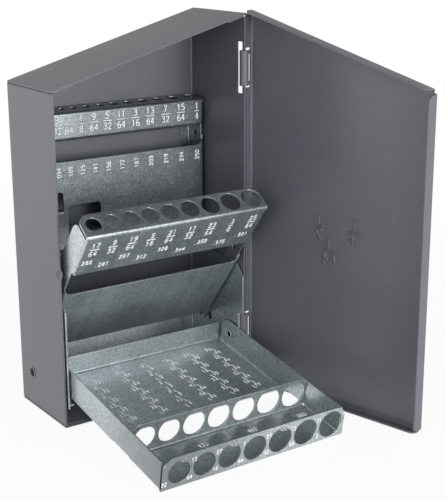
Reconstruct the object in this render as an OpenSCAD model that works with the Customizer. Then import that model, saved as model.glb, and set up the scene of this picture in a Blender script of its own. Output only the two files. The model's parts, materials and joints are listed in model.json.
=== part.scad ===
// Drill bit index case: a slant-topped sheet steel case with a hinged door
// and three drill trays, one fixed and two that fold out. Millimetres, +Z up.
// The origin is the middle of the underside. The front of the case faces -Y.

/* [Case] */
// Outer width of the case
case_w = 110.5; // [108:0.5:130]
// Outer depth of the case, without the door
case_d = 49.6; // [48:0.1:56]
// Height of the left wall
left_h = 168.5; // [166:0.5:190]
// Height of the right wall, on the hinge side
right_h = 199; // [195:0.5:215]
// Thickness of the painted sheet
sheet = 0.9; // [0.7:0.1:1.1]
// Inside radius of every bend
bend_r = 0.8; // [0.5:0.1:1]
// Width of the seam between a wall and the panel that covers its tab
seam = 0.35; // [0.2:0.05:0.5]
// Width of the welded corner tabs
tab_w = 11; // [8:0.5:14]
// Distance of the tabs from the rim
tab_inset = 0.6; // [0.4:0.1:2]
// Distance of the tabs from the back
tab_back = 8; // [5:0.5:12]

/* [Door] */
// Distance from the rim of the case to the outside of the door panel
door_depth = 5.6; // [5.2:0.1:8]
// How far the top and free flanges lap over the case
door_lap = 2; // [1.6:0.1:3]
// Clearance between a lapping flange and the case
door_gap = 0.8; // [0.3:0.05:0.8]
// Clearance between the rim and the flanges that meet it
rim_gap = 0.3; // [0.2:0.05:0.5]
// Angle at which the door stands open
door_open = 103; // [90:1:130]
// Radius of the flange corners
flange_r = 3; // [2:0.5:4]
// Height of the latch above the underside
latch_z = 80; // [72:1:110]
// Radius of the latch hollow at the face of the wall
latch_r = 2.4; // [1.8:0.1:3]
// Depth of the latch hollow
latch_depth = 1; // [0.6:0.1:1.2]

/* [Hinge] */
// Width of the strip of wall that the door's tongues curl round
strip_w = 1.8; // [1.4:0.1:2.2]
// Depth of the slot behind the strip
slot_d = 4.6; // [4:0.1:7]
// Height of a hinge slot
slot_h = 26.5; // [24:0.5:32]
// Height of a tongue
tongue_h = 18; // [14:0.5:20]
// Running clearance between the strip and the bore of the curl
curl_gap = 0.45; // [0.2:0.05:0.5]
// Middle of the lower hinge
lower_hinge_z = 29; // [26:0.2:60]
// Middle of the upper hinge
upper_hinge_z = 171.2; // [150:0.2:176]
// Width of the cuts beside a tongue
tongue_cut = 1.2; // [0.8:0.1:2]
// Depth of the notch in the flange that a tongue comes out of
notch_d = 3.5; // [2.8:0.1:3.6]
// Width of the slit between a tongue and its flange
slit_w = 1.5; // [1:0.1:1.6]
// Length of the legs at the ends of that slit
leg_h = 2; // [1.5:0.1:3]

/* [Bracket] */
// Thickness of the zinc-plated sheet
plate = 0.8; // [0.7:0.1:0.9]
// Room for rivet heads between the case and the bracket
head_room = 0.7; // [0.7:0.05:1]
// Distance from the rim back to the front edge of the side plates
ear_front = -0.8; // [-1.5:0.1:3]
// Height of the side plates above the underside
ear_top = 68; // [60:0.5:70]
// Size of the chamfer at their top front corner
ear_chamfer = 7.8; // [5:0.2:12]
// Clearance between a side plate and the lower hinge
curl_room = 0.4; // [0.2:0.05:0.6]
// Height of its lower edge above the underside
bracket_bottom = 10; // [6:0.5:11]
// Height of the back plate above the underside
bracket_back_h = 42; // [30:1:50]
// Width of the lips along the lower edge
lip_w = 4.5; // [4:0.5:10]
// Distance of each end of a lip from the ends of its side plate
lip_inset = 3; // [2:0.5:8]
// Distance from the back of the case to the spare hole in each side plate
spare_back = 19.1; // [18.5:0.1:21]
// Height of the spare hole above the underside
spare_z = 29.2; // [24:0.2:34]
// Radius of the spare hole
spare_r = 2.2; // [1.6:0.1:2.4]
// Distance from the back of the case to the eyelets
eyelet_back = 13.9; // [11:0.1:15]
// Height of the eyelets above the underside
eyelet_z = 18.3; // [14:0.2:20]
// Radius of an eyelet's barrel
eyelet_r = 2.6; // [2.4:0.1:2.8]
// Radius of an eyelet's bore
eyelet_bore_r = 2.2; // [1.6:0.1:2.2]
// Thickness of an eyelet's rims
eyelet_rim = 0.3; // [0.2:0.05:0.5]
// How far an eyelet's rims stand out round its barrel
eyelet_lip = 0.5; // [0.4:0.1:1]

/* [Rivets] */
// Radius of a pivot rivet's shank
rivet_r = 1.7; // [1.5:0.1:1.9]
// Radius of a rivet's bore
rivet_bore_r = 1.3; // [0.6:0.1:1.3]
// How far a rivet's heads stand out round its shank
head_lip = 1.1; // [0.9:0.1:1.2]
// Thickness of the head in the room beside the case
outer_head = 0.5; // [0.3:0.05:0.5]
// Thickness of the head inside a tray
inner_head = 0.7; // [0.5:0.1:1]
// Radius of the dish that rolling the inner head leaves in it
dish_r = 2.2; // [1.8:0.1:2.3]
// Part of the inner head's thickness that the dish takes
dish_share = 0.6; // [0.3:0.05:0.7]
// Running clearance round a shank
pivot_gap = 0.05; // [0.02:0.01:0.09]
// Clearance of a shank in the plate that it is clinched to
clinch_gap = 0.02; // [0.01:0.01:0.04]
// End clearance between a tray and its rivets
end_gap = 0.1; // [0.05:0.01:0.15]

/* [Trays] */
// Room between the bracket and a tray on each side
tray_gap = 0.7; // [0.5:0.05:1]
// How much larger a hole is than its drill
hole_gap = 1.4; // [0.8:0.1:1.5]
// Gap where a side flange stops short of a cross flange
relief = 0.5; // [0.3:0.1:1]
// Radius of the lower corners of a window, and of the guide's corners
window_r = 5; // [3:0.5:6]
// Radius of the corners of the hole flange
hole_flange_r = 6; // [3:0.5:6]
// Radius of the corners of the drill stop
stop_r = 4; // [2:0.5:5]
// Clearance of a guide between the side flanges
guide_gap = 0.4; // [0.3:0.1:0.8]

/* [Front tray] */
// Smallest drill in the front tray, in 64ths of an inch
front_first = 26; // [24:1:26]
// Number of drills in the front tray
front_count = 7; // [5:1:7]
// Pitch of the front holes beyond the drill sizes
front_web = 3.05; // [2.4:0.05:3.1]
// Length of the front tray
front_l = 107; // [102:0.5:110]
// Height of its hole wall
front_hole_wall = 17.2; // [16.8:0.1:18]
// Height of the holes above its floor
front_hole_at = 8.9; // [8.7:0.1:9]
// Height of its rear wall
front_stop = 11.1; // [8:0.1:13]
// Height of its side flanges
front_side = 15; // [14:0.1:16.5]
// Distance from the hole wall to the guide
front_guide_at = 30.6; // [24:0.2:36]
// Distance from the rim to its pivot
front_pivot_y = 9.3; // [9:0.1:11]
// Height of its pivot above the underside
front_pivot_z = 24.8; // [23:0.1:27]
// Height of its pivot above its floor
front_pivot_in = 8.1; // [7.5:0.1:9]
// Distance from its rear wall to its pivot
front_pivot_up = 9.8; // [9:0.1:12]

/* [Middle tray] */
// Smallest drill in the middle tray, in 64ths of an inch
middle_first = 17; // [15:1:17]
// Number of drills in the middle tray
middle_count = 9; // [7:1:9]
// Pitch of the middle holes beyond the drill sizes
middle_web = 3.05; // [2.4:0.05:3.2]
// Length of the middle tray
middle_l = 90.3; // [84:0.1:91]
// Depth of its hole flange
middle_hole_wall = 14; // [13.8:0.1:14.2]
// Depth of the holes behind its front
middle_hole_at = 7.4; // [7.3:0.1:7.6]
// Depth of its drill stop
middle_stop = 11; // [8:0.5:12]
// Depth of its side flanges at the top
middle_side = 13; // [11:0.1:13.5]
// Depth of its side flanges at the bottom
middle_side_low = 7; // [6.5:0.1:9]
// Distance from the hole flange to the guide
middle_guide_at = 29.2; // [22:0.2:34]
// Height of its window
middle_window = 15.4; // [12:0.1:16]
// Distance from the back of the case to its pivot
middle_pivot_back = 13.6; // [12.8:0.1:14.2]
// Height of its pivot above the underside
middle_pivot_z = 30.5; // [29:0.1:33]
// Distance of its pivot below the drill stop
middle_pivot_drop = 4; // [3.5:0.1:5]
// Radius of the ears round its pivot
middle_ear_r = 3.5; // [3.2:0.1:4]
// Angle at which it leans out of the case
middle_lean = 37.5; // [33:0.1:40]

/* [Rear tray] */
// Smallest drill in the rear tray, in 64ths of an inch
rear_first = 4; // [3:1:4]
// Number of drills in the rear tray
rear_count = 13; // [10:1:13]
// Pitch of the rear holes beyond the drill sizes
rear_web = 4; // [3.4:0.05:4.2]
// Depth of the rear tray, from the back of the case
rear_depth = 14.1; // [13.8:0.1:14.6]
// Height of its hole flange above the underside
rear_top = 152; // [146:0.5:154]
// Length of the rear tray
rear_l = 72; // [66:0.5:74]
// Depth of its hole flange
rear_hole_wall = 13.3; // [12.6:0.1:13.4]
// Depth of the holes behind its front
rear_hole_at = 8; // [7:0.1:8.5]
// Depth of its drill stop and shelves
rear_stop = 11; // [9:0.1:12]
// Distance from the hole flange to the guide
rear_guide_at = 14.4; // [11:0.2:18]
// Height of its window
rear_window = 10.7; // [9:0.1:12]
// Length of the feet that are welded to the back of the case
foot = 6; // [4:0.5:10]
// Radius of the small hole in each side flange, here and in the middle tray
side_hole_r = 1.5; // [1:0.1:2]
// Depth of the upper shelf below the hole flange
shelf_1 = 42; // [40:0.5:43]
// Depth of the second shelf below the hole flange
shelf_2 = 50; // [48:0.5:52]
// Depth of the third shelf below the hole flange
shelf_3 = 62.5; // [58:0.5:64]
// Radius of the upper corners of the shelves' windows
shelf_r = 1.7; // [1:0.1:1.8]
// Height of the windows above the first two shelves
shelf_window = 9.5; // [7:0.5:10]
// Height of the window above the third shelf
shelf_3_window = 14.5; // [10:0.5:16]
// Angle at which its hole flange rises to the back
rear_rise = 5; // [0:0.5:8]

/* [Hidden] */
$fn = 48;

inch = 25.4;
paint_colour = "#6f6e72";
zinc_colour = "#8d9898";
cut = 1;

// Outer bend radii of the two sheets
case_bend = sheet + bend_r;
plate_bend = plate + bend_r;

// Slope of the top
slope = atan((right_h - left_h) / case_w);
slope_l = case_w / cos(slope);
drop_per_sheet = sheet / cos(slope);

// Door, as it is when closed
door_left = -(door_gap + sheet);
door_w = case_w - door_left;
door_bottom = rim_gap;
door_slope_l = door_w / cos(slope);
door_top_left = left_h + (door_gap + sheet) / cos(slope) + door_left * tan(slope);
flange_stub = 2;

// Hinge axis: the middle of the strip between slot and rim
hinge_x = case_w - sheet / 2;
hinge_y = strip_w / 2;
curl_bore_r = norm([sheet / 2, strip_w / 2]) + curl_gap;
curl_r = curl_bore_r + sheet;
hinge_heights = [lower_hinge_z, upper_hinge_z];

// Places measured from the back of the case
rear_y = case_d - sheet - rear_depth;
middle_pivot_y = case_d - middle_pivot_back;
eyelet_y = case_d - eyelet_back;

// Bracket and trays across the case
ear_x = sheet + head_room;
bracket_w = case_w - 2 * ear_x;
tray_x = ear_x + plate + tray_gap;
tray_w = case_w - 2 * tray_x;

// Front tray: its rear wall and floor meet at a corner; the pivot is above the floor
front_reach = front_l - plate_bend - front_pivot_up;
front_rise = front_pivot_in - plate_bend;
front_droop = asin((front_pivot_z - plate_bend) / norm([front_reach, front_rise]))
    - atan(front_rise / front_reach);
front_fold = 90 + front_droop;

// Shelves of the rear tray: first and last hole, depth below the hole flange, window
shelves = [
    [0, 1, shelf_1, shelf_window], [2, 2, shelf_2, shelf_window], [3, 5, shelf_3, shelf_3_window]
];

// Height of a cutter that goes through one flange and not through the next
flange_cut = 4 * plate_bend;

// Height of the underside of the top
function under_top(x) = left_h + x * tan(slope) - drop_per_sheet;

function drill(n) = inch * n / 64;
function hole_d(n) = drill(n) + hole_gap;
function row_x(first, i, web) =
    i == 0 ? 0 : row_x(first, i - 1, web) + (drill(first + i - 1) + drill(first + i)) / 2 + web;
function hole_x(first, count, web, i) =
    (tray_w - row_x(first, count - 1, web)) / 2 + row_x(first, i, web);

// Part of a ring, from the +X axis round to the angle
module ring_sector(inner, outer, angle) {
    intersection() {
        difference() {
            circle(outer);
            circle(inner);
        }
        polygon([[0, 0], [2 * outer, 0], 2 * outer * [cos(angle), sin(angle)]]);
    }
}

// Section of a bent sheet: runs along +X with its thickness on the left, turning left
// between its runs
module bent_sheet(thick, runs, turn = 90, i = 0) {
    outer = thick + bend_r;
    square([runs[i], thick]);
    if (i < len(runs) - 1)
        translate([runs[i], outer]) {
            rotate(-90)
                ring_sector(bend_r, outer, turn);
            rotate(turn)
                translate([0, -outer])
                    bent_sheet(thick, runs, turn, i + 1);
        }
}

// The corner that a rounding takes off a rectangle, at the origin
module corner_waste(r) {
    difference() {
        translate([-cut, -cut])
            square(r + cut);
        translate([r, r])
            circle(r);
    }
}

// A section drawn in Y and Z, drawn out along X
module along_x(length) {
    rotate([90, 0, 90])
        linear_extrude(length)
            children();
}

// The same shape at both sides of something of this width
module both_sides(width) {
    children();
    translate([width, 0, 0])
        mirror([1, 0, 0])
            children();
}

// From the frame of the rim, with its corner at the lower left, to the frame of the part
module in_case() {
    translate([-case_w / 2, -case_d / 2, 0])
        children();
}

// Sloping frame of the top: X along the slope from its left end, Z square to it
module on_slope(left, height) {
    translate([left, 0, height])
        rotate([0, -slope, 0])
            children();
}

// Case
module wall_prism() {
    top = [for (x = [case_w, 0]) [x, under_top(x)]];
    translate([0, case_d, 0])
        rotate([90, 0, 0])
            linear_extrude(case_d)
                polygon(concat([[0, sheet], [case_w, sheet]], top));
}

module case_walls() {
    intersection() {
        translate([case_w, 0, 0])
            rotate(90)
                linear_extrude(right_h)
                    bent_sheet(sheet, [case_d - case_bend, case_w - 2 * case_bend, case_d - case_bend]);
        wall_prism();
    }
}

module bottom_panel() {
    cube([case_w, case_d - case_bend, sheet]);
    translate([case_bend, 0, 0])
        along_x(case_w - 2 * case_bend)
            bent_sheet(sheet, [case_d - case_bend, flange_stub]);
    both_sides(case_w)
        translate([sheet, tab_inset, sheet])
            cube([tab_w - sheet, case_d - tab_inset - tab_back, sheet]);
}

module top_panel() {
    intersection() {
        on_slope(0, left_h)
            translate([-case_w, 0, -sheet])
                cube([3 * case_w, case_d - case_bend, sheet]);
        cube([case_w, case_d, 2 * right_h]);
    }
    on_slope(0, left_h) {
        translate([case_bend, case_d, -case_bend - flange_stub])
            along_x(slope_l - 2 * case_bend)
                rotate(90)
                    bent_sheet(sheet, [flange_stub, case_d - case_bend]);
        both_sides(slope_l)
            translate([sheet, tab_inset, -2 * sheet])
                cube([tab_w - sheet, case_d - tab_inset - tab_back, sheet]);
    }
}

module seam_cuts() {
    both_sides(case_w)
        translate([-cut, -cut, sheet])
            cube([cut + sheet / 2, case_d + 2 * cut, seam]);
    on_slope(0, left_h)
        both_sides(slope_l)
            translate([-cut, -cut, -sheet - seam])
                cube([cut + sheet / 2, case_d + 2 * cut, seam]);
}

// What the bends of the upper tabs take off the tops of the walls
module tab_bend_cuts() {
    translate([0, case_d - tab_back, 0])
        rotate([90, 0, 0])
            linear_extrude(case_d)
                for (side = [[0, 1], [case_w, -1]]) {
                    outside = side[0] - side[1] * cut;
                    inside = side[0] + side[1] * case_bend;
                    centre = [inside, under_top(inside) - case_bend / cos(slope)];
                    difference() {
                        polygon([
                            [outside, under_top(outside)], [outside, centre[1]], centre,
                            centre + case_bend * [-sin(slope), cos(slope)]
                        ]);
                        translate(centre)
                            circle(case_bend);
                    }
                }
}

// A hollow pressed in a wall: a ball of this radius cuts to the hollow's depth
function press_r(r, depth) = (r * r + depth * depth) / (2 * depth);

module latch_ball(grow) {
    ball = press_r(latch_r, latch_depth);
    translate([latch_depth - ball, door_lap / 2, latch_z])
        sphere(ball + grow);
}

module case_shell() {
    color(paint_colour)
        in_case() {
            difference() {
                union() {
                    case_walls();
                    bottom_panel();
                    top_panel();
                    intersection() {
                        latch_ball(sheet);
                        translate([0, 0, latch_z - tab_w])
                            cube([tab_w, tab_w, 2 * tab_w]);
                    }
                }
                seam_cuts();
                tab_bend_cuts();
                latch_ball(0);
                for (z = hinge_heights)
                    translate([case_w - sheet - cut, strip_w, z - slot_h / 2])
                        cube([sheet + 2 * cut, slot_d, slot_h]);
                translate([-cut, eyelet_y, eyelet_z])
                    rotate([0, 90, 0])
                        cylinder(r = eyelet_r + clinch_gap, h = case_w + 2 * cut);
            }
        }
}

// Door, drawn closed and then swung open about its hinge
module door_prism() {
    low = door_bottom + case_bend + relief;
    lift = (case_bend + relief) / cos(slope);
    top = [for (x = [door_w, 0]) [door_left + x, door_top_left + x * tan(slope) - lift]];
    translate([0, door_lap, 0])
        rotate([90, 0, 0])
            linear_extrude(door_lap + door_depth)
                polygon(concat([[door_left, low], [door_left + door_w, low]], top));
}

module door_pan() {
    free_flange = door_lap + door_depth - case_bend;
    hinge_flange = door_depth - rim_gap - case_bend;
    intersection() {
        translate([door_left, door_lap, 0])
            rotate(-90)
                linear_extrude(2 * right_h)
                    bent_sheet(sheet, [free_flange, door_w - 2 * case_bend, hinge_flange]);
        door_prism();
    }
    difference() {
        translate([door_left + case_bend, -door_depth, door_bottom + case_bend + flange_stub])
            along_x(door_w - 2 * case_bend)
                rotate(-90)
                    bent_sheet(sheet, [flange_stub, hinge_flange]);
        translate([door_left + case_bend, -rim_gap, 0])
            both_sides(door_w - 2 * case_bend)
                mirror([0, 1, 0])
                    linear_extrude(right_h)
                        corner_waste(flange_r);
    }
    difference() {
        on_slope(door_left, door_top_left)
            translate([case_bend, door_lap, 0])
                along_x(door_slope_l - 2 * case_bend)
                    rotate(180)
                        bent_sheet(sheet, [free_flange, flange_stub]);
        on_slope(door_left, door_top_left)
            translate([case_bend, door_lap, -right_h])
                both_sides(door_slope_l - 2 * case_bend)
                    mirror([0, 1, 0])
                        linear_extrude(2 * right_h)
                            corner_waste(flange_r);
    }
}

// Rounds the ends of the free flange
module free_flange_waste() {
    low = door_bottom + case_bend + relief;
    high = door_top_left - (case_bend + relief) / cos(slope);
    translate([door_left - cut, door_lap, 0])
        along_x(sheet + bend_r + cut) {
            translate([0, low])
                mirror([1, 0])
                    corner_waste(flange_r);
            translate([0, high])
                rotate(180)
                    corner_waste(flange_r);
        }
}

module tongue(z) {
    translate([0, 0, z - tongue_h / 2]) {
        difference() {
            union() {
                translate([hinge_x, hinge_y, 0])
                    cylinder(r = curl_r, h = tongue_h);
                translate([case_w - sheet, -notch_d - rim_gap, 0])
                    cube([sheet, notch_d + rim_gap, tongue_h]);
            }
            translate([hinge_x, hinge_y, -cut])
                cylinder(r = curl_bore_r, h = tongue_h + 2 * cut);
            translate([case_w - sheet - cut, -notch_d - rim_gap, leg_h])
                cube([sheet + 2 * cut, slit_w, tongue_h - 2 * leg_h]);
        }
    }
}

module door_closed() {
    difference() {
        door_pan();
        free_flange_waste();
        for (z = hinge_heights)
            translate([case_w - sheet - cut, -notch_d - rim_gap, z - tongue_h / 2 - tongue_cut])
                cube([sheet + 2 * cut, notch_d + cut, tongue_h + 2 * tongue_cut]);
    }
    for (z = hinge_heights)
        tongue(z);
    intersection() {
        translate([-door_gap - sheet, door_lap / 2, latch_z])
            sphere(door_lap / 2 + sheet);
        translate([door_left, 0, latch_z - tab_w])
            cube([sheet + door_lap, door_lap, 2 * tab_w]);
    }
}

module door() {
    color(paint_colour)
        in_case()
            translate([hinge_x, hinge_y, 0])
                rotate(door_open)
                    translate([-hinge_x, -hinge_y, 0])
                        door_closed();
}

// Bracket
module ear_outline() {
    polygon([
        [ear_front, bracket_bottom], [case_d, bracket_bottom], [case_d, ear_top],
        [ear_front + ear_chamfer, ear_top], [ear_front, ear_top - ear_chamfer]
    ]);
}

module pivot_hole(y, z, r) {
    translate([-cut, y, z])
        rotate([0, 90, 0])
            cylinder(r = r, h = case_w + 2 * cut);
}

module tray_bracket() {
    ear_depth = case_d - sheet - ear_front;
    lip_d = ear_depth - 2 * lip_inset;
    notch_back = hinge_y + curl_r + curl_room;
    notch_h = tongue_h + 2 * curl_room;
    color(zinc_colour)
        in_case()
            difference() {
                union() {
                    intersection() {
                        translate([case_w - ear_x, ear_front, 0])
                            rotate(90)
                                linear_extrude(ear_top)
                                    bent_sheet(plate, [
                                        ear_depth - plate_bend, bracket_w - 2 * plate_bend,
                                        ear_depth - plate_bend
                                    ]);
                        along_x(case_w)
                            ear_outline();
                    }
                    both_sides(case_w) {
                        translate([ear_x, ear_front + lip_inset, bracket_bottom])
                            cube([lip_w, lip_d, plate]);
                        translate([sheet, eyelet_y, eyelet_z])
                            rotate([0, 90, 0])
                                cylinder(r = eyelet_r + eyelet_lip, h = head_room + plate / 2);
                    }
                }
                translate([ear_x + plate_bend, case_d - sheet - plate - cut, bracket_back_h])
                    cube([bracket_w - 2 * plate_bend, plate + 2 * cut, ear_top]);
                translate([case_w / 2, ear_front - cut, lower_hinge_z - notch_h / 2])
                    cube([case_w / 2, notch_back - ear_front + cut, notch_h]);
                pivot_hole(case_d - spare_back, spare_z, spare_r);
                pivot_hole(front_pivot_y, front_pivot_z, rivet_r + clinch_gap);
                pivot_hole(middle_pivot_y, middle_pivot_z, rivet_r + clinch_gap);
                pivot_hole(eyelet_y, eyelet_z, eyelet_r + clinch_gap);
            }
}

// Trays, drawn upright: front face at y = 0, drill stop at z = 0, hole flange at the top

// Flange bent back at the top of a plate; the bend starts below z = 0
module cross_flange(width, depth, rise = 0) {
    translate([0, 0, -plate_bend - relief])
        along_x(width)
            mirror([1, 0])
                rotate(90)
                    bent_sheet(plate, [relief, depth - plate_bend], 90 - rise);
}

// Rounds the two rear corners of a cross flange
module flange_corners(width, depth, r) {
    translate([0, depth, 0])
        both_sides(width)
            mirror([0, 1, 0])
                linear_extrude(flange_cut, center = true)
                    corner_waste(r);
}

module hole_row(first, count, web, at) {
    for (i = [0:count - 1])
        translate([hole_x(first, count, web, i), at, 0])
            cylinder(d = hole_d(first + i), h = flange_cut, center = true);
}

// Flange with the drill holes, its upper face at the top of the tray
module hole_flange(depth, first, count, web, at, rise) {
    difference() {
        cross_flange(tray_w, depth, rise);
        flange_corners(tray_w, depth, hole_flange_r);
        hole_row(first, count, web, at);
    }
}

// Guide bent in from the top edge of the window
module guide(depth, first, count, web, at) {
    inset = plate + guide_gap;
    difference() {
        translate([inset, 0, 0])
            mirror([0, 0, 1])
                cross_flange(tray_w - 2 * inset, depth);
        translate([inset, 0, 0])
            flange_corners(tray_w - 2 * inset, depth, window_r);
        hole_row(first, count, web, at);
    }
}

module drill_stop(depth) {
    difference() {
        mirror([0, 0, 1])
            cross_flange(tray_w, depth);
        flange_corners(tray_w, depth, stop_r);
    }
}

// Opening that the guide was cut from; it takes the bends at both sides with it
module window(bottom, top) {
    translate([0, plate_bend, 0])
        rotate([90, 0, 0])
            linear_extrude(plate_bend + cut)
                difference() {
                    translate([-cut, bottom])
                        square([tray_w + 2 * cut, top - bottom]);
                    translate([0, bottom])
                        corner_waste(window_r);
                    translate([tray_w, bottom])
                        mirror([1, 0])
                            corner_waste(window_r);
                }
}

// Front plate with its side flanges, cut to the outline of the flanges
module channel(side, length) {
    low = plate_bend + relief;
    intersection() {
        translate([0, side, low])
            rotate(-90)
                linear_extrude(length - 2 * low)
                    bent_sheet(plate, [side - plate_bend, tray_w - 2 * plate_bend, side - plate_bend]);
        along_x(tray_w)
            children();
    }
}

// A tray: its plate and sides are the children
module tray_sheet(length, hole_wall, stop, first, count, web, at, guide_at, window_h, rise = 0) {
    difference() {
        union()
            children();
        window(length - guide_at - window_h, length - guide_at + plate_bend);
    }
    translate([0, 0, length])
        hole_flange(hole_wall, first, count, web, at, rise);
    translate([0, 0, length - guide_at])
        guide(min(window_h, hole_wall - relief), first, count, web, at);
    drill_stop(stop);
}

module front_outline() {
    difference() {
        square([front_side, front_l]);
        translate([front_side, plate_bend + relief])
            mirror([1, 0])
                corner_waste(window_r);
    }
}

module front_tray() {
    color(zinc_colour)
        in_case()
            translate([0, front_pivot_y, front_pivot_z])
                rotate([front_fold, 0, 0])
                    translate([tray_x, -front_pivot_in, -front_pivot_up])
                        difference() {
                            tray_sheet(
                                front_l, front_hole_wall, front_stop, front_first, front_count,
                                front_web, front_hole_at, front_guide_at, front_hole_wall
                            )
                                channel(front_side, front_l)
                                    front_outline();
                            pivot_hole(front_pivot_in, front_pivot_up, rivet_r + pivot_gap);
                        }
}

module middle_outline() {
    difference() {
        polygon([
            [0, 0], [middle_side_low, 0], [middle_side_low, middle_guide_at],
            [middle_side, middle_l - middle_guide_at], [middle_side, middle_l], [0, middle_l]
        ]);
        translate([middle_side, middle_l - plate_bend - relief])
            rotate(180)
                corner_waste(window_r);
    }
}

// Ear at the foot of a side flange, round the pivot
module middle_ear() {
    along_x(plate) {
        translate([0, -middle_pivot_drop])
            square([2 * middle_ear_r, middle_pivot_drop + plate_bend + relief]);
        translate([plate_bend, 0])
            square([2 * middle_ear_r - plate_bend, middle_guide_at / 2]);
        translate([middle_ear_r, -middle_pivot_drop])
            circle(middle_ear_r);
    }
}

module middle_tray() {
    middle_hole_z = middle_l - middle_guide_at - middle_window + window_r;
    color(zinc_colour)
        in_case()
            translate([0, middle_pivot_y, middle_pivot_z])
                rotate([middle_lean, 0, 0])
                    translate([tray_x, -middle_ear_r, middle_pivot_drop])
                        difference() {
                            union() {
                                tray_sheet(
                                    middle_l, middle_hole_wall, middle_stop, middle_first,
                                    middle_count, middle_web, middle_hole_at, middle_guide_at,
                                    middle_window
                                )
                                    channel(middle_side, middle_l)
                                        middle_outline();
                                both_sides(tray_w)
                                    middle_ear();
                            }
                            pivot_hole(middle_ear_r, -middle_pivot_drop, rivet_r + pivot_gap);
                            pivot_hole(middle_side / 2, middle_hole_z, side_hole_r);
                        }
}

// Plate of the rear tray, with side flanges and the feet behind them
module rear_channel(depth) {
    low = plate_bend + relief;
    side = depth - 2 * plate_bend;
    translate([foot, depth, low])
        rotate(180)
            linear_extrude(rear_l - 2 * low)
                bent_sheet(plate, [
                    foot - plate_bend, side, tray_w - 2 * plate_bend, side, foot - plate_bend
                ]);
}

function shelf_left(shelf) =
    hole_x(rear_first, rear_count, rear_web, shelf[0]) - hole_d(rear_first + shelf[0]) / 2;
function shelf_right(shelf) =
    hole_x(rear_first, rear_count, rear_web, shelf[1]) + hole_d(rear_first + shelf[1]) / 2;

// Window above a shelf, with its upper corners rounded
module shelf_opening(width, height) {
    rotate([90, 0, 0])
        linear_extrude(plate_bend + cut)
            difference() {
                square([width, height]);
                translate([0, height])
                    mirror([0, 1])
                        corner_waste(shelf_r);
                translate([width, height])
                    rotate(180)
                        corner_waste(shelf_r);
            }
}

module rear_tray() {
    color(zinc_colour)
        in_case()
            translate([tray_x, rear_y, rear_top - rear_l]) {
                difference() {
                    tray_sheet(
                        rear_l, rear_hole_wall, rear_stop, rear_first, rear_count, rear_web,
                        rear_hole_at, rear_guide_at, rear_window, rear_rise
                    )
                        rear_channel(rear_depth);
                    for (shelf = shelves)
                        translate([shelf_left(shelf), plate_bend, rear_l - shelf[2] - plate_bend])
                            shelf_opening(
                                shelf_right(shelf) - shelf_left(shelf), shelf[3] + plate_bend
                            );
                    pivot_hole(rear_depth / 2, rear_l - rear_guide_at - rear_window / 2, side_hole_r);
                }
                for (shelf = shelves)
                    translate([shelf_left(shelf), 0, rear_l - shelf[2]])
                        cross_flange(shelf_right(shelf) - shelf_left(shelf), rear_stop);
            }
}

// Rivets, drawn at the left side with their axis on X
module disc(from, to, r) {
    translate([from, 0, 0])
        rotate([0, 90, 0])
            cylinder(r = r, h = to - from);
}

module pivot_rivet(y, z) {
    end = tray_x + plate + end_gap / 2 + inner_head;
    color(zinc_colour)
        translate([0, y, z])
            difference() {
                union() {
                    disc(ear_x - outer_head, ear_x, rivet_r + head_lip);
                    disc(ear_x - outer_head, end, rivet_r);
                    disc(ear_x + plate, tray_x - end_gap / 2, rivet_r + head_lip / 2);
                    disc(end - inner_head, end, rivet_r + head_lip);
                }
                disc(0, end + cut, rivet_bore_r);
                disc(end - dish_share * inner_head, end + cut, dish_r);
            }
}

module eyelet() {
    inside = ear_x + plate;
    color(paint_colour)
        translate([0, eyelet_y, eyelet_z])
            difference() {
                union() {
                    disc(-eyelet_rim, 0, eyelet_r + eyelet_lip);
                    disc(-eyelet_rim, inside + eyelet_rim, eyelet_r);
                    disc(inside, inside + eyelet_rim, eyelet_r + eyelet_lip);
                }
                disc(-eyelet_rim - cut, inside + eyelet_rim + cut, eyelet_bore_r);
            }
}

module at_left() {
    in_case()
        children();
}

module at_right() {
    mirror([1, 0, 0])
        in_case()
            children();
}

module front_pivot_left() {
    at_left()
        pivot_rivet(front_pivot_y, front_pivot_z);
}

module front_pivot_right() {
    at_right()
        pivot_rivet(front_pivot_y, front_pivot_z);
}

module middle_pivot_left() {
    at_left()
        pivot_rivet(middle_pivot_y, middle_pivot_z);
}

module middle_pivot_right() {
    at_right()
        pivot_rivet(middle_pivot_y, middle_pivot_z);
}

module eyelet_left() {
    at_left()
        eyelet();
}

module eyelet_right() {
    at_right()
        eyelet();
}

case_shell();
door();
tray_bracket();
rear_tray();
middle_tray();
front_tray();
front_pivot_left();
front_pivot_right();
middle_pivot_left();
middle_pivot_right();
eyelet_left();
eyelet_right();
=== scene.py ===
import json
import math

import bpy
from mathutils import Matrix, Vector


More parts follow.
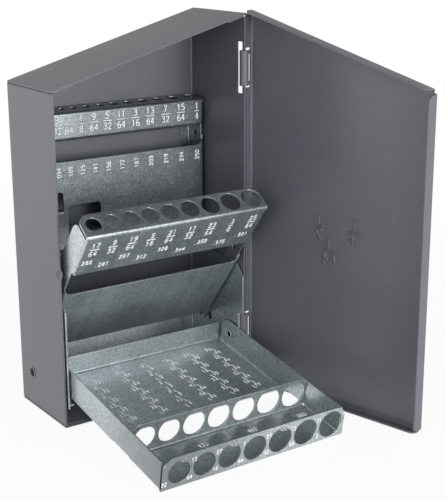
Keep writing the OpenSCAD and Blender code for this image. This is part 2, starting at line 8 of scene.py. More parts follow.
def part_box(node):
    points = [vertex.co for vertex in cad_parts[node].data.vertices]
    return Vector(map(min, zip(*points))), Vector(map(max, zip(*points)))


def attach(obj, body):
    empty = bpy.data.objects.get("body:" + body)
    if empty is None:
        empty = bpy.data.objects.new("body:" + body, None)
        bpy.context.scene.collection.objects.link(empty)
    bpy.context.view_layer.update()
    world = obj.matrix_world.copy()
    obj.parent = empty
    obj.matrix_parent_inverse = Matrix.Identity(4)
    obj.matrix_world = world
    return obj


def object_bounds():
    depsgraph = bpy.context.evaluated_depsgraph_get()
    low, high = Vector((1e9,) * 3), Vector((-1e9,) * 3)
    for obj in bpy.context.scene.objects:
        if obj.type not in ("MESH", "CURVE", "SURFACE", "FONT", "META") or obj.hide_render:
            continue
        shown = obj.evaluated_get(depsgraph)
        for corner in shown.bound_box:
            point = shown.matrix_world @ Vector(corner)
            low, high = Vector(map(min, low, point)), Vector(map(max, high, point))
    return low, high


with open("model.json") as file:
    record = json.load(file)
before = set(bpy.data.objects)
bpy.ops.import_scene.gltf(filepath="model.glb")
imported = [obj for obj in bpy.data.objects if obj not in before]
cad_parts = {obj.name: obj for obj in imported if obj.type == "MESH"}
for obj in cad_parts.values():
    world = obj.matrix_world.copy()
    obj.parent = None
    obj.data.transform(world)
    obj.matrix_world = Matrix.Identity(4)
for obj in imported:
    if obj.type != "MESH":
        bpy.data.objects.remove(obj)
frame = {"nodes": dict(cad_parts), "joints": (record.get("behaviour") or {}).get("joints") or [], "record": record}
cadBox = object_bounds()
record = frame["record"]
mm = 0.001
inch = 25.4 * mm
scene = bpy.context.scene
scene.view_settings.view_transform = "Standard"


# Shader and geometry node plumbing
class Wire:
    def __init__(self, tree, socket=None):
        self.tree = tree
        self.socket = socket

    def node(self, kind, settings=None, sockets=None, output=0):
        made = self.tree.nodes.new(kind)
        for name, value in (settings or {}).items():
            setattr(made, name, value)
        for name, value in (sockets or {}).items():
            if isinstance(value, Wire):
                self.tree.links.new(value.socket, made.inputs[name])
            else:
                made.inputs[name].default_value = value
        return Wire(self.tree, made.outputs[output] if made.outputs else None)

    def sum(self, operation, first, second):
        return self.node("ShaderNodeMath", {"operation": operation}, {0: first, 1: second})

    def __add__(self, other):
        return self.sum("ADD", self, other)

    def __radd__(self, other):
        return self.sum("ADD", other, self)

    def __sub__(self, other):
        return self.sum("SUBTRACT", self, other)

    def __rsub__(self, other):
        return self.sum("SUBTRACT", other, self)

    def __mul__(self, other):
        return self.sum("MULTIPLY", self, other)

    def __rmul__(self, other):
        return self.sum("MULTIPLY", other, self)

    def clamped(self):
        return self.node("ShaderNodeClamp", None, {"Value": self})

    def between(self, low, high):
        return self.node(
            "ShaderNodeMapRange", {"interpolation_type": "SMOOTHSTEP"},
            {"Value": self, "From Min": low, "From Max": high},
        )


def newMaterial(name):
    material = bpy.data.materials.new(name)
    material.use_nodes = True
    material.node_tree.nodes.clear()
    return material, Wire(material.node_tree)


# Sockets 6 and 7 and output 2 of a Mix node are its colours
def mixColour(start, factor, first, second):
    return start.node("ShaderNodeMix", {"data_type": "RGBA"}, {0: factor, 6: first, 7: second}, 2)


noiseMiddle = 0.5
edgeSamples = 6
creviceShadeSamples = 8


def objectPlace(start):
    return start.node("ShaderNodeTexCoord", None, None, "Object")


# spread is the noise's scale, detail and roughness
def noise(start, place, spread):
    scale, detail, roughness = spread
    return start.node(
        "ShaderNodeTexNoise", None,
        {"Vector": place, "Scale": scale, "Detail": detail, "Roughness": roughness},
    )


# How much the surface turns within a small radius: edges, rims and bends
def edgeMask(start, radius):
    rounded = start.node("ShaderNodeBevel", {"samples": edgeSamples}, {"Radius": radius})
    flat = start.node("ShaderNodeNewGeometry", None, None, "Normal")
    same = start.node(
        "ShaderNodeVectorMath", {"operation": "DOT_PRODUCT"}, {0: rounded, 1: flat}, "Value",
    )
    return rounded, (1 - same).clamped()


# Painted shade in whatever is shut in closer than an inside corner: ambient occlusion darkens the colour in seams,
# crevices and bores
def dirtied(start, base, reach, limits, dirtAndShade):
    opened = start.node(
        "ShaderNodeAmbientOcclusion", {"samples": creviceShadeSamples}, {"Distance": reach}, "AO",
    )
    return mixColour(start, (1 - opened).between(*limits), base, dirtAndShade)


def bumped(start, look, height, normal=None):
    sockets = {"Strength": look["bump"], "Distance": look["bumpDepth"], "Height": height}
    if normal is not None:
        sockets["Normal"] = normal
    return start.node("ShaderNodeBump", None, sockets)


def finishMaterial(start, sockets):
    shader = start.node("ShaderNodeBsdfPrincipled", None, sockets)
    start.node("ShaderNodeOutputMaterial", None, {"Surface": shader})


# Grey enamel on the case and the door
enamelLook = {
    "grey": (0.104, 0.109, 0.131, 1.0),
    "dusty": (0.132, 0.135, 0.154, 1.0),
    "thin": (0.360, 0.360, 0.370, 1.0),
    "dirtAndShade": (0.010, 0.010, 0.012, 1.0),
    "cloud": (14.0, 4.0, 0.6), "cloudRange": (0.35, 0.75), "cloudShare": 0.35,
    "peel": (1100.0, 2.0, 0.5), "peelRange": (0.38, 0.62), "peelShare": 0.45,
    "speck": (2600.0, 1.0, 0.4), "speckRange": (0.60, 0.78), "speckShare": 0.15,
    "rub": (160.0, 5.0, 0.65), "leastRub": 0.35, "wornRange": (0.10, 0.55), "wornShare": 0.70,
    "edgeRadius": 0.45 * mm,
    "creviceShadeReach": 1.6 * mm, "creviceShadeRange": (0.50, 0.72),
    "bump": 0.16, "bumpDepth": 0.10 * mm, "speckHeight": 0.35,
    "roughness": 0.42, "cloudRoughness": 0.14, "peelRoughness": 0.10,
    "coat": 0.25, "coatRoughness": 0.22,
}


def makeEnamel():
    look = enamelLook
    material, start = newMaterial("greyEnamel")
    place = objectPlace(start)
    cloud = noise(start, place, look["cloud"])
    peel = noise(start, place, look["peel"])
    speck = noise(start, place, look["speck"])
    rub = noise(start, place, look["rub"])
    rounded, edge = edgeMask(start, look["edgeRadius"])
    worn = (edge * (look["leastRub"] + rub)).between(*look["wornRange"])
    dust = cloud.between(*look["cloudRange"]) * look["cloudShare"]
    dust = dust + peel.between(*look["peelRange"]) * look["peelShare"]
    base = mixColour(start, dust, look["grey"], look["dusty"])
    specked = speck.between(*look["speckRange"]) * look["speckShare"]
    base = mixColour(start, specked, base, look["thin"])
    base = mixColour(start, worn * look["wornShare"], base, look["thin"])
    # Seams and crevices darkened towards near black: painted shade
    base = dirtied(start, base, look["creviceShadeReach"], look["creviceShadeRange"], look["dirtAndShade"])
    rough = look["roughness"] + (cloud - noiseMiddle) * look["cloudRoughness"]
    finishMaterial(start, {
        "Base Color": base,
        "Roughness": rough + (peel - noiseMiddle) * look["peelRoughness"],
        "Normal": bumped(start, look, peel + speck * look["speckHeight"], rounded),
        "Coat Weight": look["coat"],
        "Coat Roughness": look["coatRoughness"],
    })
    return material


# Zinc on the trays and the bracket: fine spangle, rolled grain, bends and rims turned bright as a painted
# highlight
zincLook = {
    "pale": (0.615, 0.662, 0.672, 1.0),
    "deep": (0.278, 0.320, 0.336, 1.0),
    "bright": (0.880, 0.890, 0.880, 1.0),
    "dulled": (0.150, 0.165, 0.170, 1.0),
    "grimyAndShaded": (0.012, 0.013, 0.014, 1.0),
    "spangleScale": 1500.0, "flakeShare": 0.28,
    "flakeRange": (0.82, 0.97), "salt": 0.17, "pepper": 0.34,
    "grain": (1900.0, 2.0, 0.6), "grainShare": 0.60,
    "mottle": (620.0, 3.0, 0.55), "mottleShare": 0.12,
    "shadeRange": (0.34, 0.66), "shadeShare": 0.48, "leastPale": 0.06,
    "smudge": (30.0, 4.0, 0.6), "smudgeShare": 0.26,
    "rolled": (26.0, 620.0, 620.0), "rolledShare": 0.14,
    "streaks": (105.0, 9.0, 9.0), "drawnOut": (1.0, 3.0, 0.6), "wearRange": (0.3, 0.7),
    "edgeRadius": 0.36 * mm, "edgeRange": (0.06, 0.42), "edgeShare": 0.9,
    "cornerPatchRange": (0.35, 0.65), "leastCornerDark": 0.55, "grainCornerDark": 0.45, "cornerDarkShare": 0.85,
    "recessRange": (0.30, 0.65),
    "bump": 0.12, "bumpDepth": 0.05 * mm,
    "metallic": 0.84, "roughness": 0.31, "grainRoughness": 0.10, "smudgeRoughness": 0.14,
}


def stretchedNoise(start, place, scales):
    drawnOut = start.node("ShaderNodeVectorMath", {"operation": "MULTIPLY"}, {0: place, 1: scales})
    return noise(start, drawnOut, zincLook["drawnOut"])


# lift makes it paler and tone below 1 darker: lit and shaded copies of one zinc, painted light and painted shade;
# recess is how far in painted shade is looked for, and the last a corner of the sheet and how far from it the
# sheet is darker
def makeZinc(name, lift, tone, streaked=0.0, recess=0.0, darkCorner=None):
    look = zincLook
    deep, pale = ([v * tone for v in look[n][:3]] + [1.0] for n in ("deep", "pale"))
    material, start = newMaterial(name)
    place = objectPlace(start)
    spangle = start.node(
        "ShaderNodeTexVoronoi", {"feature": "F1"},
        {"Vector": place, "Scale": look["spangleScale"], "Randomness": 1.0}, "Color",
    )
    flake = start.node("ShaderNodeSeparateColor", None, {"Color": spangle})
    grain = noise(start, place, look["grain"])
    mottle = noise(start, place, look["mottle"])
    smudge = noise(start, place, look["smudge"])
    rolled = stretchedNoise(start, place, look["rolled"])
    rounded, edge = edgeMask(start, look["edgeRadius"])
    shade = flake * look["flakeShare"] + mottle * look["mottleShare"] + grain * look["grainShare"]
    shade = shade.between(*look["shadeRange"])
    wear = rolled.between(*look["wearRange"]) * look["rolledShare"]
    wear = wear + smudge.between(*look["wearRange"]) * look["smudgeShare"]
    if streaked:
        streaks = stretchedNoise(start, place, look["streaks"]).between(*look["wearRange"])
        wear = wear + (streaks - noiseMiddle) * streaked
    paleness = shade * look["shadeShare"] + wear + look["leastPale"] + lift
    base = mixColour(start, paleness.clamped(), deep, pale)
    # Edges, rims and bends made bright: a painted highlight
    edgeHighlight = edge.between(*look["edgeRange"]) * look["edgeShare"]
    base = mixColour(start, edgeHighlight, base, look["bright"])
    salt = flake.between(*look["flakeRange"]) * look["salt"]
    pepper = (1 - flake).between(*look["flakeRange"]) * look["pepper"]
    base = mixColour(start, salt, base, look["bright"])
    base = mixColour(start, pepper, base, look["dulled"])
    # Darker towards one corner of the front tray, in patches that follow the grain
    if darkCorner:
        corner, near, far = darkCorner
        away = start.node(
            "ShaderNodeVectorMath", {"operation": "DISTANCE"}, {0: place, 1: corner}, "Value",
        )
        patchy = look["leastCornerDark"] + grain.between(*look["cornerPatchRange"]) * look["grainCornerDark"]
        dulled = (1 - away.between(near, far)) * patchy
        base = mixColour(start, dulled * look["cornerDarkShare"], base, look["dulled"])
    # Near black in the bores of the rivets: painted shade
    if recess:
        base = dirtied(start, base, recess, look["recessRange"], look["grimyAndShaded"])
    rough = look["roughness"] + (grain - noiseMiddle) * look["grainRoughness"]
    finishMaterial(start, {
        "Base Color": base,
        "Metallic": look["metallic"],
        "Roughness": rough + (smudge - noiseMiddle) * look["smudgeRoughness"],
        "Normal": bumped(start, look, grain + mottle, rounded),
    })
    return material


# Rubbed tops of the stamped figures, near white, which is partly a painted highlight, with grime in places
rubbedHighlitLook = {
    "rubbedAndHighlit": (0.930, 0.935, 0.930, 1.0), "grimyAndShaded": (0.480, 0.500, 0.500, 1.0),
    "grimeAndShadow": (380.0, 3.0, 0.6), "grimeRange": (0.54, 0.76), "grimeShare": 0.7,
    "grain": (1900.0, 2.0, 0.5), "bump": 0.2, "bumpDepth": 0.04 * mm,
    "metallic": 0.05, "roughness": 0.40, "grainRoughness": 0.2,
}


def makeRubbed():
    look = rubbedHighlitLook
    material, start = newMaterial("rubbedHighlitZinc")
    place = objectPlace(start)
    dirtAndShade = noise(start, place, look["grimeAndShadow"])
    grain = noise(start, place, look["grain"])
    soiled = dirtAndShade.between(*look["grimeRange"]) * look["grimeShare"]
    finishMaterial(start, {
        # Near-white base: rubbed zinc together with a painted highlight
        "Base Color": mixColour(start, soiled, look["rubbedAndHighlit"], look["grimyAndShaded"]),
        "Metallic": look["metallic"],
        "Roughness": look["roughness"] + (grain - noiseMiddle) * look["grainRoughness"],
        "Normal": bumped(start, look, grain),
    })
    return material


# Painted shadow that lies beside the figures: aside is in bead radii, share is its bead against theirs
figureShadowLook = {
    "dark": (0.060, 0.066, 0.070, 1.0), "lighterShade": (0.120, 0.130, 0.135, 1.0),
    "patch": (900.0, 2.0, 0.5), "patchRange": (0.4, 0.65),
    "roughness": 0.55, "patchRoughness": 0.3,
    "aside": 0.75, "share": 0.72,
}


def makeGrime():
    look = figureShadowLook
    material, start = newMaterial("figureGrime")
    patch = noise(start, objectPlace(start), look["patch"])
    lighterShade = patch.between(*look["patchRange"])
    finishMaterial(start, {
        "Base Color": mixColour(start, lighterShade, look["dark"], look["lighterShade"]),
        "Roughness": look["roughness"] + (patch - noiseMiddle) * look["patchRoughness"],
    })
    return material


# Each zinc piece's copy: the rear tray's darker, painted shade, the middle tray's paler, painted light, a corner
# of the front tray darker, and the rivets with painted shade in their bores
zincFinishes = {
    "spangledZinc": {"lift": 0.0, "tone": 1.0},
    "cornerDarkZinc": {
        "lift": 0.0, "tone": 1.0, "darkCorner": ((-52 * mm, -126 * mm, 8 * mm), 12 * mm, 75 * mm),
    },
    # painted shade: a darker copy for the rear tray deep in the case
    "paintedShadeZinc": {"lift": -0.06, "tone": 0.62},
    # painted light: a paler copy for the middle tray, with streaks
    "paintedLightStreakedZinc": {"lift": 0.12, "tone": 1.0, "streaked": 0.35},
    "rivetZinc": {"lift": 0.18, "tone": 1.0, "recess": 4 * mm},
}
enamel = makeEnamel()
zincs = {name: makeZinc(name, **settings) for name, settings in zincFinishes.items()}
stampZinc = makeRubbed()
grimeAndShadow = makeGrime()
finishes = {
    "case_shell": enamel, "door": enamel, "eyelet_left": enamel, "eyelet_right": enamel,
    "tray_bracket": zincs["spangledZinc"], "rear_tray": zincs["paintedShadeZinc"],
    "middle_tray": zincs["paintedLightStreakedZinc"], "front_tray": zincs["cornerDarkZinc"],
    "front_pivot_left": zincs["rivetZinc"], "front_pivot_right": zincs["rivetZinc"],
    "middle_pivot_left": zincs["rivetZinc"], "middle_pivot_right": zincs["rivetZinc"],
}
for nodeName, node in frame["nodes"].items():
    node.data.materials.clear()
    node.data.materials.append(finishes[nodeName])
print("finishes:", len(finishes), "nodes coated")


# Figures of a set of hand stamps: strokes in a box 0.6 wide and 1 high
strokes = {
    "0": [[
        (0.30, 1.0), (0.08, 0.80), (0.06, 0.20), (0.30, 0.0), (0.54, 0.20), (0.52, 0.80), (0.30, 1.0),
    ]],
    "1": [[(0.14, 0.80), (0.32, 1.0)], [(0.32, 1.0), (0.32, 0.0)]],
    "2": [
        [(0.08, 0.76), (0.16, 0.95), (0.32, 1.0), (0.50, 0.88), (0.48, 0.62), (0.06, 0.0)],
        [(0.06, 0.0), (0.55, 0.0)],
    ],
    "3": [
        [(0.08, 0.88), (0.30, 1.0), (0.50, 0.84), (0.44, 0.62), (0.24, 0.54)],
        [(0.24, 0.54), (0.48, 0.44), (0.54, 0.20), (0.32, 0.0), (0.06, 0.12)],
    ],
    "4": [[(0.42, 1.0), (0.42, 0.0)], [(0.42, 1.0), (0.04, 0.30)], [(0.04, 0.30), (0.58, 0.30)]],
    "5": [
        [(0.52, 1.0), (0.14, 1.0)], [(0.14, 1.0), (0.10, 0.56)],
        [(0.10, 0.56), (0.32, 0.63), (0.54, 0.48), (0.54, 0.16), (0.30, 0.0), (0.06, 0.10)],
    ],
    "6": [[
        (0.48, 0.96), (0.28, 0.92), (0.10, 0.66), (0.06, 0.26), (0.18, 0.04), (0.36, 0.0),
        (0.54, 0.16), (0.52, 0.42), (0.32, 0.56), (0.10, 0.40),
    ]],
    "7": [[(0.06, 1.0), (0.54, 1.0)], [(0.54, 1.0), (0.22, 0.0)]],
    "8": [
        [
            (0.30, 0.54), (0.10, 0.70), (0.12, 0.92), (0.30, 1.0),
            (0.48, 0.92), (0.50, 0.70), (0.30, 0.54),
        ],
        [
            (0.30, 0.54), (0.06, 0.36), (0.06, 0.12), (0.30, 0.0),
            (0.54, 0.12), (0.54, 0.36), (0.30, 0.54),
        ],
    ],
    "9": [[
        (0.12, 0.04), (0.32, 0.08), (0.50, 0.34), (0.54, 0.74), (0.42, 0.96), (0.24, 1.0),
        (0.06, 0.84), (0.08, 0.58), (0.28, 0.44), (0.50, 0.60),
    ]],
    ".": [[(0.24, 0.0), (0.24, 0.08)]],
    "/": [[(0.04, -0.06), (0.52, 1.06)]],
    "-": [[(-0.06, 0.5), (0.66, 0.5)]],
}
figureStep = 0.78  # these three are in figure heights
figureWidth = 0.6
shortBar = 0.75  # the bar of a fraction with one figure above and below
samePoint = 1e-7


class StampedFigures:
    def __init__(self, name):
        self.name = name
        self.points = []
        self.edges = []

    # A figure row centred on a point; across and up are unit vectors on the face
    def stamp(self, text, centre, across, up, height):
        left = -(figureStep * (len(text) - 1) + figureWidth) / 2
        for i, sign in enumerate(text):
            for stroke in strokes[sign]:
                path = [(left + i * figureStep + u, v - 0.5) for u, v in stroke]
                self.addPath([centre + across * (u * height) + up * (v * height) for u, v in path])

    def bar(self, centre, across, length):
        self.addPath([centre - across * (length / 2), centre + across * (length / 2)])

    def addPath(self, path):
        first = len(self.points)
        closed = (path[0] - path[-1]).length < samePoint
        kept = path[:-1] if closed else path
        self.points.extend(kept)
        self.edges.extend((first + i, first + i + 1) for i in range(len(kept) - 1))
        if closed:
            self.edges.append((first + len(kept) - 1, first))

    # A fraction with its bar, the middle of the bar at the centre
    def fraction(self, top, bottom, centre, across, up, height, rise):
        self.stamp(top, centre + up * rise, across, up, height)
        self.stamp(bottom, centre - up * rise, across, up, height)
        longest = max(len(top), len(bottom))
        self.bar(centre, across, height * (figureStep * (longest - 1) + shortBar))


ringPoints = 6


# Sweeps a round bead along every stroke
def makeBeadTree():
    tree = bpy.data.node_groups.new("stampedBead", "GeometryNodeTree")
    face = tree.interface
    face.new_socket("Strokes", in_out="INPUT", socket_type="NodeSocketGeometry")
    face.new_socket("Bead Radius", in_out="INPUT", socket_type="NodeSocketFloat")
    face.new_socket("Point Spacing", in_out="INPUT", socket_type="NodeSocketFloat")
    face.new_socket("Finish", in_out="INPUT", socket_type="NodeSocketMaterial")
    face.new_socket("Figures", in_out="OUTPUT", socket_type="NodeSocketGeometry")
    start = Wire(tree)
    source = tree.nodes.new("NodeGroupInput")
    given = {socket.name: Wire(tree, socket) for socket in source.outputs if socket.name}
    lines = start.node("GeometryNodeMeshToCurve", None, {"Mesh": given["Strokes"]})
    smooth = start.node(
        "GeometryNodeCurveSplineType", {"spline_type": "CATMULL_ROM"}, {"Curve": lines},
    )
    spaced = start.node(
        "GeometryNodeResampleCurve", {"mode": "LENGTH"},
        {"Curve": smooth, "Length": given["Point Spacing"]},
    )
    ring = start.node(
        "GeometryNodeCurvePrimitiveCircle", None,
        {"Resolution": ringPoints, "Radius": given["Bead Radius"]},
    )
    bead = start.node(
        "GeometryNodeCurveToMesh", None,
        {"Curve": spaced, "Profile Curve": ring, "Fill Caps": True},
    )
    real = start.node("GeometryNodeRealizeInstances", None, {"Geometry": bead})
    coated = start.node(
        "GeometryNodeSetMaterial", None, {"Geometry": real, "Material": given["Finish"]},
    )
    start.node("NodeGroupOutput", None, {"Figures": coated})
    return tree


beadTree = makeBeadTree()


def socketName(tree, label):
    return next(
        item.identifier for item in tree.interface.items_tree
        if item.name == label and item.in_out == "INPUT"
    )


def makeFigures(figures, look, finish, body, name, shift=Vector(), share=1.0):
    lines = bpy.data.meshes.new(name + "Lines")
    lines.from_pydata([tuple(p + shift) for p in figures.points], figures.edges, [])
    piece = bpy.data.objects.new(name, lines)
    scene.collection.objects.link(piece)
    bead = piece.modifiers.new("bead", "NODES")
    bead.node_group = beadTree
    bead[socketName(beadTree, "Bead Radius")] = look["bead"] * share
    bead[socketName(beadTree, "Point Spacing")] = look["spacing"]
    bead[socketName(beadTree, "Finish")] = finish
    bpy.context.view_layer.update()
    ready = piece.evaluated_get(bpy.context.evaluated_depsgraph_get())
    mesh = bpy.data.meshes.new_from_object(ready)
    mesh.name = name
    piece.modifiers.remove(bead)
    piece.data = mesh
    bpy.data.meshes.remove(lines)
    for polygon in mesh.polygons:
        polygon.use_smooth = True
    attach(piece, body)
    print(name + ":", len(mesh.polygons), "faces")


# Bright figures with a lower dark line beside each stroke, a painted shadow
def stampTray(figures, look, right, up, body):
    makeFigures(figures, look, stampZinc, body, figures.name)
    aside = (right - up) * (look["bead"] * figureShadowLook["aside"])
    name = figures.name + "Grime"
    makeFigures(figures, look, grimeAndShadow, body, name, aside, figureShadowLook["share"])


finest = 64  # drill sizes are counted in 64ths of an inch
decimals = 3
almostHalf = 0.499  # rounds a half in the last place down


def fractionOf(size):
    top, bottom = size, finest
    while top % 2 == 0:
        top //= 2
        bottom //= 2
    return str(top), str(bottom)


def decimalOf(size):
    return "." + str(int(size * 10 ** decimals / finest + almostHalf)).zfill(decimals)


# Frame of a folding tray, from its first seat: its z runs from the drill stop to the holes
def trayFrame(prefix, look):
    seats = [m for m in record["mounts"] if m["name"].startswith(prefix)]
    up = Vector(seats[0]["axis"]).normalized()
    across = Vector((1, 0, 0))
    back = up.cross(across)
    seat = Vector(seats[0]["pos_m"])
    corner = seat - back * look["holeAt"] - up * (look["length"] - look["plate"] / 2)
    corner.x = 0
    return Matrix.Translation(corner) @ Matrix((across, back, up)).transposed().to_4x4(), [
        Vector(m["pos_m"]).x for m in seats
    ]


# Front tray: sizes round the holes, a size chart and decimals on the floor
frontFigures = {
    "plate": 0.8 * mm, "length": 107 * mm, "holeAt": 8.9 * mm, "first": 26,
    "bead": 0.20 * mm, "spacing": 0.25 * mm, "height": 2.4 * mm,
    "decimalUp": (84.6 * mm, 91 * mm),
    "endHeight": 2.0 * mm, "endAside": 7.6 * mm, "endTop": 13.2 * mm, "endBottom": 4.2 * mm,
    "chartX": (-35, -17, -2, 12, 26, 40), "chartUp": 9 * mm, "chartStep": 4.6 * mm, "chartRows": 10,
    "chartShift": 1.8 * mm, "chartFirst": 2, "columnSizes": 5, "rowSizes": 4,
    "slashShift": 0.6, "slashRise": 0.35,
}


def dressFrontTray():
    look = frontFigures
    place, holes = trayFrame("front_seat_", look)
    turn = place.to_3x3()
    right, back, up = turn.col[0], turn.col[1], turn.col[2]
    figures = StampedFigures("frontTrayFigures")

    def stampFloor(text, x, z):
        for depth in (0.0, look["plate"]):  # shows on both faces
            figures.stamp(text, place @ Vector((x, depth, z)), right, up, look["height"])

    def stampEnd(text, x, y):
        figures.stamp(text, place @ Vector((x, y, look["length"])), right, back, look["endHeight"])

    for i, x in enumerate(holes):
        size = look["first"] + i
        stampFloor(decimalOf(size), x, look["decimalUp"][i % 2])
        top, bottom = fractionOf(size)
        stampEnd(top, x + look["endAside"], look["endTop"])
        stampEnd(bottom, x - look["endAside"], look["endBottom"])
    for column, x in enumerate(look["chartX"]):
        for row in range(look["chartRows"]):
            size = look["chartFirst"] + look["columnSizes"] * column + look["rowSizes"] * row
            shift = look["chartShift"] if row % 2 else -look["chartShift"]
            z = look["chartUp"] + row * look["chartStep"]
            stampFloor(fractionOf(size)[row % 2], x * mm + shift, z)
            raised = z + look["chartStep"] * look["slashRise"]
            stampFloor("/", x * mm - shift * look["slashShift"], raised)
    stampTray(figures, look, right, up, "front_tray")


# Middle tray: a fraction and a decimal below each hole
middleFigures = {
    "plate": 0.8 * mm, "length": 90.3 * mm, "holeAt": 7.4 * mm, "first": 17,
    "bead": 0.22 * mm, "spacing": 0.25 * mm, "height": 3.2 * mm, "rise": 3.0 * mm,
    "fractionUp": 80.4 * mm,
    "decimalUp": (70.8 * mm, 67.4 * mm), "decimalShift": -2.2 * mm, "decimalShare": 0.82,
}


def dressMiddleTray():
    look = middleFigures
    place, holes = trayFrame("middle_seat_", look)
    turn = place.to_3x3()
    right, up = turn.col[0], turn.col[2]
    figures = StampedFigures("middleTrayFigures")
    for i, x in enumerate(holes):
        size = look["first"] + i
        high = place @ Vector((x, 0, look["fractionUp"]))
        figures.fraction(*fractionOf(size), high, right, up, look["height"], look["rise"])
        low = place @ Vector((x + look["decimalShift"], 0, look["decimalUp"][i % 2]))
        figures.stamp(decimalOf(size), low, right, up, look["height"] * look["decimalShare"])
    stampTray(figures, look, right, up, "middle_tray")


# Rear tray: fractions on the label face, decimals that read upwards below its window
rearFigures = {
    "first": 4, "count": 13, "web": 4 * mm,
    "bead": 0.33 * mm, "spacing": 0.25 * mm, "height": 3.3 * mm, "rise": 2.75 * mm,
    "fractionDown": 6.4 * mm, "decimalDown": 31.2 * mm, "decimalShare": 0.70,
    "flangeRise": 1.05 * mm,
}


def dressRearTray():
    look = rearFigures
    low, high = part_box("rear_tray")
    top = high.z - look["flangeRise"]
    sizes = [look["first"] + i for i in range(look["count"])]
    row = [0.0]
    for before, after in zip(sizes, sizes[1:]):
        row.append(row[-1] + (before + after) / (2 * finest) * inch + look["web"])
    right, up = Vector((1, 0, 0)), Vector((0, 0, 1))
    figures = StampedFigures("rearTrayFigures")
    for size, x in zip(sizes, row):
        at = Vector((x - row[-1] / 2, low.y, 0))
        label = at + up * (top - look["fractionDown"])
        figures.fraction(*fractionOf(size), label, right, up, look["height"], look["rise"])
        below = at + up * (top - look["decimalDown"])
        figures.stamp(decimalOf(size), below, up, -right, look["height"] * look["decimalShare"])
    stampTray(figures, look, right, up, "case")


# Door: the range of sizes, pressed in from outside, so it reads backwards inside
doorFigures = {
    "sheet": 0.9 * mm, "panel": 5.6 * mm, "open": 103.0,
    "caseWidth": 110.5 * mm, "caseDepth": 49.6 * mm,
    "bead": 0.60 * mm, "spacing": 0.4 * mm, "height": 5.6 * mm, "rise": 4.1 * mm,
    "sizes": (("1", "16", 42, 94.6), ("1", "2", 64, 94.6), ("1", "64", 57.5, 82.4)),
}


def dressDoor():
    look = doorFigures
    hinge = next(j for j in frame["joints"] if j["name"] == "door_hinge")
    axis = Vector(hinge["pos_m"])
    swing = Matrix.Rotation(math.radians(look["open"]), 3, "Z")
    right, up = swing @ Vector((1, 0, 0)), Vector((0, 0, 1))
    figures = StampedFigures("doorFigures")
    rim = Vector((-look["caseWidth"] / 2, -look["caseDepth"] / 2, 0))
    for top, bottom, x, z in look["sizes"]:
        for depth in (look["panel"], look["panel"] - look["sheet"]):
            closed = rim + Vector((x * mm, -depth, z * mm)) - axis
            spot = swing @ closed + axis
            figures.fraction(top, bottom, spot, right, up, look["height"], look["rise"])
    makeFigures(figures, look, enamel, "door", figures.name)


dressFrontTray()
dressMiddleTray()
dressRearTray()
dressDoor()

# Floor, light and camera
studio = {
    "floorSize": 8.0, "floorDrop": 0.2 * mm, "floorGlow": 0.93, "shadowReach": (0.22, 0.60),
    "white": (1, 1, 1, 1), "floorColour": (0.92, 0.92, 0.92, 1),
    "ambient": 0.48, "ceilingMirrored": 0.06, "ceilingRise": (0.20, 0.68),
    "lamps": (
        ("frontLamp", (0.15, -1.40, 0.30), (0.0, 0.0, 0.09), 0.7, 14.0, (1.0, 1.0, 1.0)),
        ("sideLamp", (-0.60, 0.36, 0.07), (-0.05, 0.0, 0.04), 0.35, 1.3, (1.0, 0.92, 0.84)),
        ("fillLamp", (-1.20, -0.75, 0.20), (0.05, -0.08, 0.09), 0.8, 4.5, (1.0, 1.0, 1.0)),
    ),
}


# Rays that show the white studio: straight from the camera, and off or through a surface
def seenRays(start):
    path = start.node("ShaderNodeLightPath")
    rays = path.socket.node.outputs
    names = ("Is Camera Ray", "Is Glossy Ray", "Is Transmission Ray")
    camera, glossy, through = [Wire(start.tree, rays[n]) for n in names]
    return camera, ((glossy + through) * (1 - camera)).clamped()


def makeFloor():
    size = studio["floorSize"] / 2
    mesh = bpy.data.meshes.new("floor")
    z = cadBox[0][2] - studio["floorDrop"]
    corners = [(-size, -size, z), (size, -size, z), (size, size, z), (-size, size, z)]
    mesh.from_pydata(corners, [], [(0, 1, 2, 3)])
    floor = bpy.data.objects.new("floor", mesh)
    scene.collection.objects.link(floor)
    material, start = newMaterial("paleFloor")
    away = start.node(
        "ShaderNodeVectorMath", {"operation": "LENGTH"}, {0: objectPlace(start)}, "Value",
    )
    near = studio["floorGlow"]
    glow = near + away.between(*studio["shadowReach"]) * (1 - near)
    matt = start.node("ShaderNodeBsdfDiffuse", None, {"Color": studio["floorColour"]})
    white = start.node("ShaderNodeEmission", None, {"Color": studio["white"], "Strength": 1.0})
    camera, mirrored = seenRays(start)
    mixed = start.node(
        "ShaderNodeMixShader", None, {0: (camera + mirrored) * glow, 1: matt, 2: white},
    )
    start.node("ShaderNodeOutputMaterial", None, {"Surface": mixed})
    mesh.materials.append(material)


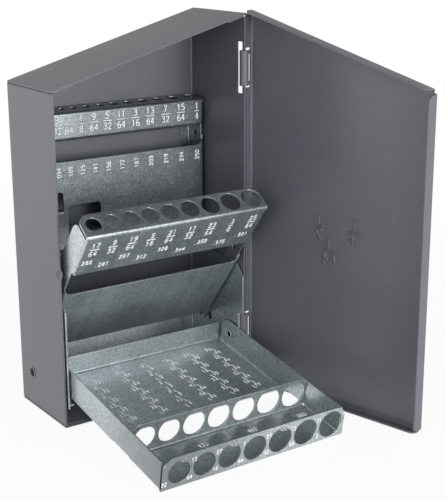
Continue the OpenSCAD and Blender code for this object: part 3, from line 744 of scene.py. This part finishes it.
def makeWorld():
    world = bpy.data.worlds.new("paleStudio")
    world.use_nodes = True
    world.node_tree.nodes.clear()
    start = Wire(world.node_tree)
    ray = start.node("ShaderNodeTexCoord", None, None, "Generated")
    rise = start.node("ShaderNodeSeparateXYZ", None, {"Vector": ray}, "Z")
    overhead = rise.between(*studio["ceilingRise"])
    camera, mirrored = seenRays(start)
    shown = 1 - overhead * (1 - studio["ceilingMirrored"])
    level = camera + mirrored * shown + (1 - camera - mirrored) * studio["ambient"]
    sky = start.node("ShaderNodeBackground", None, {"Color": studio["white"], "Strength": level})
    start.node("ShaderNodeOutputWorld", None, {"Surface": sky})
    scene.world = world


def makeLamps():
    for name, place, target, size, power, tint in studio["lamps"]:
        lamp = bpy.data.lights.new(name, "AREA")
        lamp.size = size
        lamp.energy = power
        lamp.color = tint
        holder = bpy.data.objects.new(name, lamp)
        holder.location = place
        aim = Vector(target) - Vector(place)
        holder.rotation_euler = aim.to_track_quat("-Z", "Y").to_euler()
        holder.visible_camera = False
        scene.collection.objects.link(holder)


# The photo's view: focal length and centre in pixels, eye in metres, turns in degrees
photoView = {
    "width": 445, "height": 500, "focal": 1151.8, "centre": (221.5, 249.0), "sensor": 36,
    "eye": (-0.29325, -0.50398, 0.24410), "yaw": 34.795, "pitch": 15.937, "roll": -0.19,
}


def makeCamera():
    view = photoView
    yaw, pitch, roll = (math.radians(view[n]) for n in ("yaw", "pitch", "roll"))
    flat = math.cos(pitch)
    ahead = Vector((math.sin(yaw) * flat, math.cos(yaw) * flat, -math.sin(pitch)))
    level = Vector((math.cos(yaw), -math.sin(yaw), 0))
    above = level.cross(ahead)
    right = level * math.cos(roll) + above * math.sin(roll)
    up = above * math.cos(roll) - level * math.sin(roll)
    data = bpy.data.cameras.new("photoCamera")
    data.sensor_width = view["sensor"]
    data.lens = view["focal"] / view["height"] * data.sensor_width
    data.shift_x = (view["width"] / 2 - view["centre"][0]) / view["height"]
    data.shift_y = (view["centre"][1] - view["height"] / 2) / view["height"]
    camera = bpy.data.objects.new("photoCamera", data)
    turn = Matrix((right, up, -ahead)).transposed().to_4x4()
    camera.matrix_world = Matrix.Translation(Vector(view["eye"])) @ turn
    scene.collection.objects.link(camera)
    scene.camera = camera


makeFloor()
makeWorld()
makeLamps()
makeCamera()
print("studio: floor, world,", len(studio["lamps"]), "lamps and camera")
